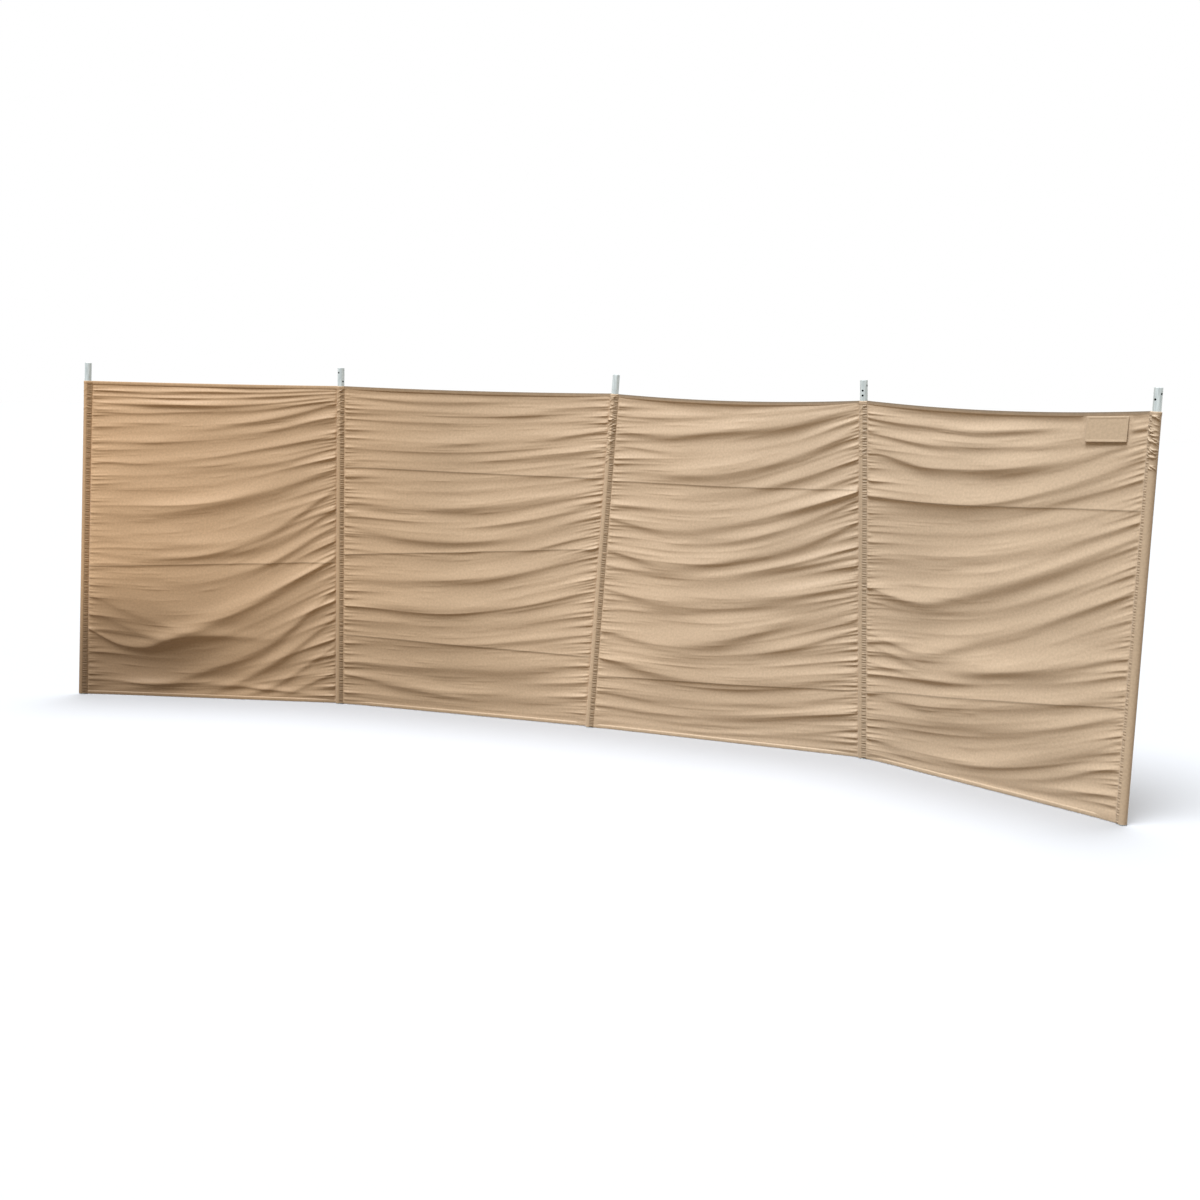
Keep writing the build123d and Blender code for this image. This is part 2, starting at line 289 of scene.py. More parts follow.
# Lines that the pull of the cloth follows, as shares of its height at the left seam, the middle and the right
# seam
FLOW_SHARES = (
    ((0.10, 0.09, 0.05), (0.25, 0.225, 0.155), (0.42, 0.40, 0.285), (0.57, 0.545, 0.39),
     (0.70, 0.70, 0.51), (0.83, 0.83, 0.65), (0.93, 0.94, 0.80)),
    ((0.10, 0.10, 0.07), (0.22, 0.21, 0.165), (0.36, 0.35, 0.275), (0.45, 0.455, 0.36),
     (0.60, 0.575, 0.46), (0.67, 0.665, 0.57), (0.79, 0.78, 0.715), (0.90, 0.90, 0.86)),
    ((0.11, 0.08, 0.013), (0.22, 0.19, 0.065), (0.36, 0.355, 0.245), (0.46, 0.455, 0.335),
     (0.575, 0.575, 0.51), (0.70, 0.69, 0.577), (0.80, 0.81, 0.765), (0.93, 0.925, 0.865)),
    ((0.08, 0.085, 0.03), (0.25, 0.225, 0.10), (0.40, 0.36, 0.23), (0.51, 0.46, 0.30),
     (0.68, 0.63, 0.45), (0.74, 0.70, 0.60), (0.86, 0.81, 0.71), (0.95, 0.93, 0.80)),
)

# Patch hung under the top hem of the last bay
PATCH_BAY = 3
PATCH_WIDTH = 0.130
PATCH_HEIGHT = 0.075
PATCH_INSET = 0.080
PATCH_THICKNESS = 0.0010
PATCH_TURN = 0.007
PATCH_TURN_DEPTH = 0.0007
PATCH_STAND = 0.004
PATCH_CALM_SHARE = 0.85
PATCH_CALM_REACH = 0.025
PATCH_TURN_SHARE = 0.8

# Photograph's camera, fitted to the poles
CAMERA_PLACE = (2.4717, -5.3928, 1.2924)
CAMERA_AZIMUTH = 24.349
CAMERA_PITCH = 7.944
CAMERA_ROLL = -1.207
SENSOR_WIDTH = 36.0
CAMERA_LENS = 50.17

# Light: degrees above the ground and to the left of the front, spread in degrees, strength and colour
LIGHT_HEIGHT = 64
LIGHT_LEFT = 17
LIGHT_SPREAD = 34
LIGHT_STRENGTH = 4.62
LIGHT_COLOUR = (0.945, 1.0, 1.085)
# Weaker light from behind, of the same colour, which gives the soft shadow along the foot of the cloth
BACK_LIGHT_HEIGHT = 77
BACK_LIGHT_TURN = 180
BACK_LIGHT_SPREAD = 22
BACK_LIGHT_STRENGTH = 2.4
SKY_STRENGTH = 0.32
SKY_COLOUR = (1.0, 0.86, 0.66)
# Floor, with its colour as it is seen and as it lights the cloth
FLOOR_SIZE = 60
FLOOR_COLOUR = (0.44, 0.44, 0.44)
GROUND_COLOUR = (0.15, 0.11, 0.07)

# Cloth: linear colours at shares of the way along the strip; its own colour, with painted light and shade
# that differ from bay to bay
CLOTH_COLOURS = ((0.0, (0.572, 0.370, 0.205)), (0.36, (0.506, 0.360, 0.225)), (0.49, (0.586, 0.431, 0.284)),
                 (0.75, (0.555, 0.420, 0.286)), (1.0, (0.574, 0.436, 0.297)))
CLOTH_TONE = (1, 1, 1)
# Sleeves, hems and patch a little darker than the open cloth: painted shade
SEWN_SHADED_TONE = (0.94, 0.94, 0.93)
# Unevenness of the colour: coordinates, scale, detail and share, and the noise values that it runs between
CLOTH_TONES = (("Object", 2.2, 4, 0.05), ("UV", 120, 2, 0.09), ("UV", 700, 2, 0.06))
NOISE_SPAN = (0.25, 0.75)
# Painted shade near the ground: its heights, and its depth at shares of the way along the strip
LOW_PAINTED_SHADE_HEIGHTS = (0.10, 0.58)
LOW_PAINTED_SHADE_SHARES = ((0, 0.54), (0.08, 0.40), (0.16, 0.12), (0.25, 0.18), (0.40, 0))
# Painted shade along the creases and in the grooves, the latter in the sewing of each sleeve and on each top
# hem's rim
CREASE_PAINTED_SHADE = 0.26
GROOVE_AND_RIM_PAINTED_SHADE = 0.64
GROOVE_PAINTED_SHADE_SHARES = (0.5, 0.5, 0.5, 0.5, 0.15)
RIM_PAINTED_SHADE_SHARES = (0, 0.8, 1, 0.95)
# Threads and small crumples, each with the strength and height of its relief
WEAVE_SCALE = 330
WEAVE_DISTORTION = 0.6
WEAVE_BUMP = (0.15, 0.0004)
CRUMPLE_SCALE = 110
CRUMPLE_DETAIL = 3
CRUMPLE_BUMP = (0.12, 0.0010)
CLOTH_ROUGHNESS = 0.58
CLOTH_SPECULAR = 0.4
SHEEN_WEIGHT = 0.15
SHEEN_ROUGHNESS = 0.4

# Plating of the tubes: mottled along their length
ZINC_COLOURS = ((0.30, (0.48, 0.535, 0.53)), (0.62, (0.68, 0.745, 0.74)))
ZINC_STRETCH = (1, 1, 0.12)
ZINC_SCALE = 160
ZINC_DETAIL = 6
ZINC_ROUGHNESS = (0.32, 0.52)
ZINC_METALLIC = 0.45
# Painted shade inside a tube, where more of the same tube is this near
BORE_SHADE_REACH = 0.030
BORE_SHADE_POWER = 2.5


def unit(vector):
    """The vector at length one."""
    vector = np.asarray(vector, float)
    return vector / np.linalg.norm(vector)


def node_points(node):
    """Points of a CAD node's mesh."""
    mesh = frame["nodes"][node].data
    points = np.empty(len(mesh.vertices) * 3)
    mesh.vertices.foreach_get("co", points)
    return points.reshape(-1, 3)


def pole_foot(pole):
    """Foot of a pole, from its mount."""
    mounts = {mount["name"]: mount for mount in frame["record"]["mounts"]}
    return np.array(mounts[f"foot_{pole + 1}"]["pos_m"], float)


def pole_axis(pole):
    """Direction of a pole, from its foot to the middle of its rim."""
    points = node_points(f"pole_{pole + 1}")
    rim = points[points[:, 2] > points[:, 2].max() - RIM_DEPTH]
    middle = (rim.min(axis=0) + rim.max(axis=0)) / 2
    return unit(middle - pole_foot(pole))


feet = [pole_foot(pole) for pole in range(POLES)]
axes = [pole_axis(pole) for pole in range(POLES)]


def towards(pole, other):
    """Direction from a pole to another one, square to the first."""
    step = feet[other] - feet[pole]
    return unit(step - axes[pole] * step.dot(axes[pole]))


def bay_front(bay):
    """Direction in which a bay faces."""
    return unit(np.cross(feet[bay + 1] - feet[bay], axes[bay] + axes[bay + 1]))


def through(values, share):
    """Smooth curve through values at even steps, at shares of the way."""
    values = np.asarray(values, float)
    slopes = np.gradient(values)
    place = np.asarray(share) * (len(values) - 1)
    low = np.minimum(place.astype(int), len(values) - 2)
    part = place - low
    left = values[low] * (1 + 2 * part) + slopes[low] * part
    right = values[low + 1] * (3 - 2 * part) - slopes[low + 1] * (1 - part)
    return left * (1 - part) ** 2 + right * part**2


def between(values, share):
    """Straight runs between values at even steps, at shares of the way."""
    return np.interp(share, np.linspace(0, 1, len(values)), values)


def arch(share):
    """Rise from 0 to 1 and back, over shares from 0 to 1."""
    return 4 * share * (1 - share)


def swell(share, fullest_share):
    """Rise from 0 to 1 and back, with its top at the fullest share."""
    return np.sin(math.pi * share ** (math.log(0.5) / np.log(fullest_share)))


def hump(away, width):
    """Soft fall from 1 to 0 on both sides, with the distance away."""
    return np.exp(-((away / width) ** 2))


def ridge(height, upper, lower, power):
    """Section of a fold: a soft upper side and a steep lower one, at a height over its crest."""
    width = np.where(height > 0, upper, lower)
    return np.exp(-(np.abs(height / width) ** power))


def smooth_step(low, high, value):
    """Rise from 0 to 1 between two values."""
    share = np.clip((value - low) / (high - low), 0, 1)
    return share * share * (3 - 2 * share)


def bay_shares():
    """Shares across and down a bay; the columns crowd at the seams."""
    even = np.linspace(0, 1, COLUMNS)
    crowded = (1 - np.cos(math.pi * even)) / 2
    across = EVEN_SHARE * even + (1 - EVEN_SHARE) * crowded
    return across[None, :], np.linspace(0, 1, ROWS)[:, None]


def has_band(pole, other):
    """Whether a pole's sleeve is sewn down flat on the side of another pole."""
    return other - pole == BAND_SIDES[pole]


def seam_reach(pole, other):
    """How far from a pole's axis the cloth towards another pole starts."""
    return BAND_REACHES[pole] - BAND_LAP if has_band(pole, other) else EDGE_REACH


def bay_width(bay):
    """Width of a bay's cloth between its seams."""
    step = np.linalg.norm(feet[bay + 1] - feet[bay])
    return step - seam_reach(bay, bay + 1) - seam_reach(bay + 1, bay)


def from_seam(bay, across):
    """Distance to the nearer seam of a bay."""
    return np.minimum(across, 1 - across) * bay_width(bay)


def seam_pinch(bay, across):
    """Share of a fold's size that is left near the seams."""
    near = np.minimum(1, from_seam(bay, across) / PINCH_LENGTH) ** PINCH_POWER
    return PINCH_SHARE + (1 - PINCH_SHARE) * near


def wavering(draw, across):
    """Slow wave across a bay, between -1 and 1, different each time."""
    return np.sin(2 * math.pi * (draw.uniform(*WAVER_TURNS) * across + draw.uniform(0, 1)))


def fold_relief(draw, bay, across, down):
    """Swag folds of a bay, in front of the cloth's middle surface and behind it."""
    pinch = seam_pinch(bay, across)
    sharp, soft = CREST_POWERS
    power = sharp + (soft - sharp) * pinch
    relief = -FOLD_MIDDLE_SHARE * pinch + 0 * down
    for path, strengths, breadth in FOLD_SHARES[bay]:
        place = through(path, across) + FOLD_STRAY_SHARE * pinch * wavering(draw, across)
        strength = between(strengths, across) * (1 + FOLD_STRENGTH_STRAY_SHARE * wavering(draw, across))
        size = breadth * pinch * (1 + FOLD_WIDTH_STRAY_SHARE * wavering(draw, across))
        crest = ridge((place - down) * CLOTH_HEIGHT, FOLD_UPPER * size, FOLD_LOWER * size, power)
        relief += strength * breadth**FOLD_BREADTH_POWER * pinch * crest
    return FOLD_DEPTHS[bay] * relief


def flow_lanes(bay, across):
    """Lines that the pull of the cloth follows across a bay, between its top and bottom edges."""
    flow = [through(path, across[0]) for path in FLOW_SHARES[bay]]
    return np.vstack([np.zeros_like(across), *flow, np.ones_like(across)])


def lane(lanes, place):
    """Line at a place between two of those lines, counted from the top edge."""
    low = min(int(place), len(lanes) - 2)
    return lanes[low] + (place - low) * (lanes[low + 1] - lanes[low])


def gather_relief(draw, bay, across, down):
    """Gathers of a bay, which fade away from the seam that they start at."""
    lanes = flow_lanes(bay, across)
    numbers = np.arange(len(lanes))
    reaches = (across * bay_width(bay), (1 - across) * bay_width(bay))
    relief = 0 * (across + down)
    for pitch, depth, width, rise, length in GATHERS:
        count = round(CLOTH_HEIGHT / pitch)
        for seam, reach, side_share in zip((0, -1), reaches, GATHER_SIDE_SHARES[bay]):
            grown = GATHER_START_SHARE + (1 - GATHER_START_SHARE) * (1 - np.exp(-reach / rise))
            for number in range(count):
                start = (number + draw.uniform(*GATHER_PLACE_SHARES)) / count
                path = lane(lanes, np.interp(start, lanes[:, seam], numbers))
                end = side_share * length * draw.lognormal(0, GATHER_LENGTH_SPREAD)
                fade = np.exp(-((reach / end) ** GATHER_FADE_POWER)) * grown
                size = width * draw.uniform(*GATHER_WIDTH_SHARES) + GATHER_SPREAD_SHARE * reach
                sides = (GATHER_UPPER_SHARE * size, GATHER_LOWER_SHARE * size)
                crest = ridge((path - down) * CLOTH_HEIGHT, *sides, CREST_POWERS[0])
                relief += depth * side_share * draw.uniform(*GATHER_DEPTH_SHARES) * fade * crest
    return relief


def wrinkle_relief(draw, bay, across, down):
    """Small wrinkles of a bay, along the pull of the cloth."""
    lanes = flow_lanes(bay, across)
    last = len(lanes) - 1
    relief = 0 * (across + down)
    for (count, depth, width), reaches in zip(WRINKLES, WRINKLE_REACH_SHARES):
        for _ in range(count):
            path = lane(lanes, draw.uniform(WRINKLE_MARGIN_SHARE, last - WRINKLE_MARGIN_SHARE))
            middle = draw.uniform(*WRINKLE_MIDDLE_SHARES)
            fade = hump(across - middle, draw.uniform(*reaches))
            size = width * draw.uniform(*WRINKLE_WIDTH_SHARES)
            sides = (WRINKLE_UPPER_SHARE * size, WRINKLE_LOWER_SHARE * size)
            crest = ridge((path - down) * CLOTH_HEIGHT, *sides, CREST_POWERS[0])
            relief += depth * draw.uniform(*WRINKLE_DEPTH_SHARES) * fade * crest
    return relief * seam_pinch(bay, across)


def crease_relief(bay, across, down):
    """Storage creases of a bay."""
    places = [(between(crease, across) - down) * CLOTH_HEIGHT for crease in CREASE_SHARES[bay]]
    return CREASE_DEPTH * sum(ridge(place, *CREASE_REACH, CREST_POWERS[0]) for place in places)


def patch_calm(across, down):
    """Share of the folds that is left, small behind the patch, which holds the cloth flat."""
    from_pole = (1 - across) * bay_width(PATCH_BAY) + seam_reach(PATCH_BAY + 1, PATCH_BAY)
    far = PATCH_INSET + PATCH_WIDTH
    low = HEM_HEIGHT + PATCH_HEIGHT
    beside = smooth_step(PATCH_INSET - PATCH_CALM_REACH, PATCH_INSET, from_pole)
    beside = beside * (1 - smooth_step(far, far + PATCH_CALM_REACH, from_pole))
    above = 1 - smooth_step(low, low + PATCH_CALM_REACH, down * CLOTH_HEIGHT)
    return 1 - PATCH_CALM_SHARE * beside * above


def free_share(bay, across, down):
    """Share of the relief that is left where hems, seams and the patch hold the cloth."""
    free = 1 - hump(down * CLOTH_HEIGHT, EDGE_HOLD)
    free = free * (1 - BOTTOM_HOLD_SHARE * hump((1 - down) * CLOTH_HEIGHT, EDGE_HOLD))
    free = free * (1 - hump(from_seam(bay, across), SEAM_HOLD))
    return free * patch_calm(across, down) if bay == PATCH_BAY else free


def bay_relief(bay, across, down):
    """How far the cloth of a bay stands out in front, from its folds, gathers, wrinkles and creases."""
    draw = np.random.default_rng(SEED + bay)
    relief = fold_relief(draw, bay, across, down)
    relief += gather_relief(draw, bay, across, down)
    relief += wrinkle_relief(draw, bay, across, down)
    relief += crease_relief(bay, across, down)
    return relief * free_share(bay, across, down)


def bay_creases(bay, across, down):
    """Distance of each point from the nearest crease, along the cloth and with its sign."""
    gaps = np.stack([(down - between(crease, across)) * BAY_CUT[1] for crease in CREASE_SHARES[bay]])
    nearest = np.abs(gaps).argmin(axis=0)
    return np.take_along_axis(gaps, nearest[None], axis=0)[0]


def bay_belly(bay, across, down):
    """How far a bay's slack cloth fills out to the front."""
    fullest = through(BELLY_DOWN_SHARES[bay], across)
    rise = np.sin(math.pi / 2 * np.minimum(1, down / fullest))
    fall = 1 - smooth_step(fullest, fullest + BELLY_FALL_SHARES[bay], down)
    return BELLY_DEPTHS[bay] * swell(across, BELLY_SIDE_SHARES[bay]) * rise * fall


def bay_ground(bay, across, down):
    """Points of a bay's cloth pulled flat between its seams, with the dip of its top edge."""
    along = CLOTH_TOP - CLOTH_HEIGHT * down
    sides = []
    for pole, other in ((bay, bay + 1), (bay + 1, bay)):
        seam = feet[pole] + seam_reach(pole, other) * towards(pole, other)
        sides.append(seam + along[..., None] * axes[pole])
    points = sides[0] + across[..., None] * (sides[1] - sides[0])
    points[..., 2] -= TOP_SAGS[bay] * arch(across) * (1 - down) ** 2
    return points


def flat_grid(across, down):
    """Flat cloth coordinates of a grid of points."""
    return np.stack(np.broadcast_arrays(across, down), axis=-1)


def grid_faces(rows, columns, closed=False):
    """Quads of a grid of points, closed round its columns if asked."""
    index = np.arange(rows * columns).reshape(rows, columns)
    if closed:
        index = np.hstack([index, index[:, :1]])
    corners = [index[:-1, :-1], index[1:, :-1], index[1:, 1:], index[:-1, 1:]]
    return np.stack(corners, axis=-1).reshape(-1, len(corners)).tolist()


def add_piece(name, points, faces, flat, material):
    """New mesh piece on the root body, with its flat cloth coordinates as UVs, in metres."""
    mesh = bpy.data.meshes.new(name)
    mesh.from_pydata(points.reshape(-1, 3).tolist(), [], faces)
    layer = mesh.uv_layers.new(name="UVMap")
    corners = np.empty(len(mesh.loops), int)
    mesh.loops.foreach_get("vertex_index", corners)
    layer.data.foreach_set("uv", flat.reshape(-1, 2)[corners].ravel())
    mesh.polygons.foreach_set("use_smooth", [True] * len(mesh.polygons))
    mesh.materials.append(material)
    piece = bpy.data.objects.new(name, mesh)
    bpy.context.scene.collection.objects.link(piece)
    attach(piece, "root")
    return piece


def mark_points(piece, name, values):
    """Gives every point of a piece a number for its material."""
    mark = piece.data.attributes.new(name, "FLOAT", "POINT")
    mark.data.foreach_set("value", values.ravel())


def thicken(piece, thickness):
    """Gives a sheet its thickness."""
    solid = piece.modifiers.new("thickness", "SOLIDIFY")
    solid.thickness = thickness
    solid.offset = 0


def new_material(name):
    """Empty node material, with its shader."""
    material = bpy.data.materials.new(name)
    material.use_nodes = True
    return material, material.node_tree, material.node_tree.nodes["Principled BSDF"]


def noise(tree, place, scale, detail):
    """Socket with a noise over a piece."""
    node = tree.nodes.new("ShaderNodeTexNoise")
    node.inputs["Scale"].default_value = scale
    node.inputs["Detail"].default_value = detail
    tree.links.new(place, node.inputs["Vector"])
    return node.outputs["Fac"]


def ranged(tree, value, source, target):
    """Socket with a value moved from one range to another."""
    node = tree.nodes.new("ShaderNodeMapRange")
    node.inputs["From Min"].default_value, node.inputs["From Max"].default_value = source
    node.inputs["To Min"].default_value, node.inputs["To Max"].default_value = target
    tree.links.new(value, node.inputs["Value"])
    return node.outputs["Result"]


def marked(tree, name):
    """Socket with the number that a piece's points carry under a name."""
    mark = tree.nodes.new("ShaderNodeAttribute")
    mark.attribute_name = name
    return mark.outputs["Fac"]


def larger(tree, first, second):
    """Socket with the larger of two values."""
    node = tree.nodes.new("ShaderNodeMath")
    node.operation = "MAXIMUM"
    tree.links.new(first, node.inputs[0])
    tree.links.new(second, node.inputs[1])
    return node.outputs["Value"]


def times(tree, colour, factor):
    """Socket with a colour multiplied by a factor."""
    mixed = tree.nodes.new("ShaderNodeMix")
    mixed.data_type, mixed.blend_type = "RGBA", "MULTIPLY"
    mixed.inputs["Factor"].default_value = 1
    tree.links.new(colour, mixed.inputs["A"])
    tree.links.new(factor, mixed.inputs["B"])
    return mixed.outputs["Result"]


def colour_ramp(tree, share, stops):
    """Socket with a colour that runs from stop to stop, each with its share of the way and its colour."""
    ramp = tree.nodes.new("ShaderNodeValToRGB")
    elements = ramp.color_ramp.elements
    while len(elements) < len(stops):
        elements.new(1)
    for element, (place, colour) in zip(elements, stops):
        element.position, element.color = place, (*colour, 1)
    tree.links.new(share, ramp.inputs["Fac"])
    return ramp.outputs["Color"]


def low_painted_shade(tree, along, height):
    """Socket with painted shade that falls below 1 towards the ground, most at the first pole."""
    stops = [(share, (1 - shade,) * 3) for share, shade in LOW_PAINTED_SHADE_SHARES]
    tone = tree.nodes.new("ShaderNodeMapRange")
    tone.interpolation_type = "SMOOTHSTEP"
    tone.inputs["From Min"].default_value, tone.inputs["From Max"].default_value = LOW_PAINTED_SHADE_HEIGHTS
    tone.inputs["To Max"].default_value = 1
    tree.links.new(colour_ramp(tree, along, stops), tone.inputs["To Min"])
    tree.links.new(height, tone.inputs["Value"])
    return tone.outputs["Result"]


def painted_crease_tone(tree):
    """Socket with painted shade that falls below 1 along the creases that a piece carries."""
    away = tree.nodes.new("ShaderNodeMath")
    away.operation = "ABSOLUTE"
    tree.links.new(marked(tree, "crease"), away.inputs[0])
    return ranged(tree, away.outputs["Value"], (0, CREASE_WIDTH), (1 - CREASE_PAINTED_SHADE, 1))


def painted_shade_tone(tree):
    """Socket with painted shade that falls below 1 in the grooves and on the rims that a piece carries."""
    return ranged(tree, marked(tree, "painted_shade_share"), (0, 1), (1, 1 - GROOVE_AND_RIM_PAINTED_SHADE))


def cloth_colour(tree, place, tone):
    """Socket with the colour of the cloth along the strip, with painted light and shade that differ from bay
    to bay, painted shade near the ground, and uneven.
    """
    split = tree.nodes.new("ShaderNodeSeparateXYZ")
    tree.links.new(place.outputs["Object"], split.inputs["Vector"])
    along = ranged(tree, split.outputs["X"], (feet[0][0], feet[-1][0]), (0, 1))
    stops = [(share, np.multiply(tone, colour)) for share, colour in CLOTH_COLOURS]
    # Painted shade near the ground
    colour = times(tree, colour_ramp(tree, along, stops), low_painted_shade(tree, along, split.outputs["Z"]))
    for coordinates, scale, detail, stray_share in CLOTH_TONES:
        grain = noise(tree, place.outputs[coordinates], scale, detail)
        colour = times(tree, colour, ranged(tree, grain, NOISE_SPAN, (1 - stray_share, 1 + stray_share)))
    return colour


def cloth_relief(tree, place):
    """Socket with the fine relief of the cloth: small crumples, and threads both ways."""
    waves = []
    for direction in "XY":
        wave = tree.nodes.new("ShaderNodeTexWave")
        wave.wave_type, wave.bands_direction = "BANDS", direction
        wave.inputs["Scale"].default_value = WEAVE_SCALE
        wave.inputs["Distortion"].default_value = WEAVE_DISTORTION
        tree.links.new(place.outputs["UV"], wave.inputs["Vector"])
        waves.append(wave.outputs["Fac"])
    weave = larger(tree, *waves)
    crumple = noise(tree, place.outputs["UV"], CRUMPLE_SCALE, CRUMPLE_DETAIL)
    normal = None
    for height, (strength, distance) in ((crumple, CRUMPLE_BUMP), (weave, WEAVE_BUMP)):
        bump = tree.nodes.new("ShaderNodeBump")
        bump.inputs["Strength"].default_value = strength
        bump.inputs["Distance"].default_value = distance
        tree.links.new(height, bump.inputs["Height"])
        if normal:
            tree.links.new(normal, bump.inputs["Normal"])
        normal = bump.outputs["Normal"]
    return normal


def cloth_material(name, tone, marks):
    """Plain-woven cloth in a tone of its colour, with the painted shade of its marks."""
    material, tree, shader = new_material(name)
    place = tree.nodes.new("ShaderNodeTexCoord")
    colour = times(tree, cloth_colour(tree, place, tone), marks(tree))
    tree.links.new(colour, shader.inputs["Base Color"])
    tree.links.new(cloth_relief(tree, place), shader.inputs["Normal"])
    shader.inputs["Roughness"].default_value = CLOTH_ROUGHNESS
    shader.inputs["Sheen Weight"].default_value = SHEEN_WEIGHT
    shader.inputs["Sheen Roughness"].default_value = SHEEN_ROUGHNESS
    shader.inputs["Specular IOR Level"].default_value = CLOTH_SPECULAR
    return material


def painted_bore_shade(tree):
    """Socket with painted shade, falling to 0 inside a tube."""
    shelter = tree.nodes.new("ShaderNodeAmbientOcclusion")
    shelter.only_local = True
    shelter.inputs["Distance"].default_value = BORE_SHADE_REACH
    darker = tree.nodes.new("ShaderNodeMath")
    darker.operation = "POWER"
    darker.inputs[1].default_value = BORE_SHADE_POWER
    tree.links.new(shelter.outputs["AO"], darker.inputs[0])
    return darker.outputs["Value"]


def zinc_material():
    """Zinc-plated tube: pale mottled metal with fine lengthwise marks, with painted shade inside."""
    material, tree, shader = new_material("zinc")
    place = tree.nodes.new("ShaderNodeTexCoord")
    stretch = tree.nodes.new("ShaderNodeMapping")
    stretch.inputs["Scale"].default_value = ZINC_STRETCH
    tree.links.new(place.outputs["Object"], stretch.inputs["Vector"])
    mottle = noise(tree, stretch.outputs["Vector"], ZINC_SCALE, ZINC_DETAIL)
    colour = times(tree, colour_ramp(tree, mottle, ZINC_COLOURS), painted_bore_shade(tree))
    tree.links.new(colour, shader.inputs["Base Color"])
    tree.links.new(ranged(tree, mottle, (0, 1), ZINC_ROUGHNESS), shader.inputs["Roughness"])
    shader.inputs["Metallic"].default_value = ZINC_METALLIC
    return material


cloth = cloth_material("cloth", CLOTH_TONE, painted_crease_tone)
sewn_cloth = cloth_material("sewn_cloth", SEWN_SHADED_TONE, painted_shade_tone)
zinc = zinc_material()

# Poles: the CAD tubes, plated
for pole in range(POLES):
    tube = frame["nodes"][f"pole_{pole + 1}"]
    tube.data.materials.clear()
    tube.data.materials.append(zinc)


def make_bay(bay):
    """Cloth of a bay, as one gathered sheet."""
    across, down = bay_shares()
    relief = bay_relief(bay, across, down)
    out = relief + bay_belly(bay, across, down)
    for pole, other, share in ((bay, bay + 1, across), (bay + 1, bay, 1 - across)):
        if has_band(pole, other):
            out = out + (BAND_FRONT - BAND_SINK) * hump(share * bay_width(bay), BAND_FRONT_LENGTH)
    points = bay_ground(bay, across, down) + out[..., None] * bay_front(bay)
    points[..., 2] -= FOLD_DROOP_SHARE * relief * np.minimum(1, HANG_STEEPNESS * arch(down))
    points[..., 2] = np.maximum(points[..., 2], GROUND_CLEARANCE)
    flat = flat_grid(across * BAY_CUT[0], down * BAY_CUT[1])
    piece = add_piece(f"bay_{bay + 1}_cloth", points, grid_faces(*relief.shape), flat, cloth)
    # Distance to the nearest crease, for the painted shade along it
    mark_points(piece, "crease", bay_creases(bay, across, down))
    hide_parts(f"panel_{bay + 1}")
    return piece, points


def make_hem(bay, points, name, section_shares, edge, inwards):
    """Folded hem along an edge of a bay's cloth, wrapped over it."""
    line = points[edge]
    front = bay_front(bay)
    inward = unit(points[inwards].mean(axis=0) - line.mean(axis=0))
    rings = []
    for depth, rise in section_shares:
        rings.append(line + depth * HEM_THICKNESS * front - rise * HEM_HEIGHT * inward)
    rings = np.stack(rings, axis=1)
    rings[..., 2] = np.maximum(rings[..., 2], GROUND_CLEARANCE / 2)
    columns, sides = rings.shape[:2]
    faces = grid_faces(columns, sides, closed=True)
    faces.append(list(range(sides))[::-1])
    faces.append([(columns - 1) * sides + side for side in range(sides)])
    across = np.linspace(0, BAY_CUT[0], columns)[:, None]
    round_it = np.linspace(0, 2 * HEM_HEIGHT, sides)[None, :]
    hem = add_piece(name + "_piece", rings, faces, flat_grid(across, round_it), sewn_cloth)
    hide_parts(name)
    return hem


# Bays: the cloth, with the hems along its top and bottom edges
for bay in range(BAYS):
    sheet, points = make_bay(bay)
    top = make_hem(bay, points, f"top_hem_{bay + 1}", TOP_HEM_SHARES, 0, HEM_ROWS)
    # Painted shade on the rim of each top hem
    rim = [rise >= 0 for _, rise in TOP_HEM_SHARES]
    mark_points(top, "painted_shade_share", RIM_PAINTED_SHADE_SHARES[bay] * np.tile(rim, COLUMNS))
    bottom = make_hem(bay, points, f"bottom_hem_{bay + 1}", BOTTOM_HEM_SHARES, -1, -HEM_ROWS)


def ladder_rungs(draw, height, degrees):
    """Row of small slanting puckers of uneven size, between the sewn lines of a sleeve."""
    count = round(CLOTH_HEIGHT / LADDER_PITCH)
    places = CLOTH_BOTTOM + (np.arange(count) + draw.uniform(*LADDER_PLACE_SHARES, count)) * LADDER_PITCH
    lean = np.radians(degrees - SLEEVE_SEAMS[0]) * LADDER_LEAN
    total = 0 * (height + degrees)
    for place in places:
        rise = height - place + lean * draw.uniform(*LADDER_LEAN_SHARES)
        size = draw.uniform(*LADDER_DEPTH_SHARES)
        total += size * hump(rise, LADDER_WIDTH * draw.uniform(*LADDER_WIDTH_SHARES))
    return total


def pleats(draw, pole, height, degrees):
    """Small slanting pleats under the top of a sleeve, each across a part of its front."""
    total = 0 * (height + degrees)
    for _ in range(round(PLEAT_LENGTHS[pole] / PLEAT_PITCH)):
        place = CLOTH_TOP - HEM_HEIGHT - PLEAT_LENGTHS[pole] * draw.uniform(0, 1)
        away = degrees - draw.uniform(*PLEAT_FACINGS)
        rise = height - place - np.radians(away) * PLEAT_LEAN * draw.uniform(*PLEAT_LEAN_SHARES)
        width = PLEAT_WIDTH * draw.uniform(*PLEAT_WIDTH_SHARES)
        total += draw.uniform(*PLEAT_DEPTH_SHARES) * hump(rise, width) * hump(away, PLEAT_SPAN)
    return total


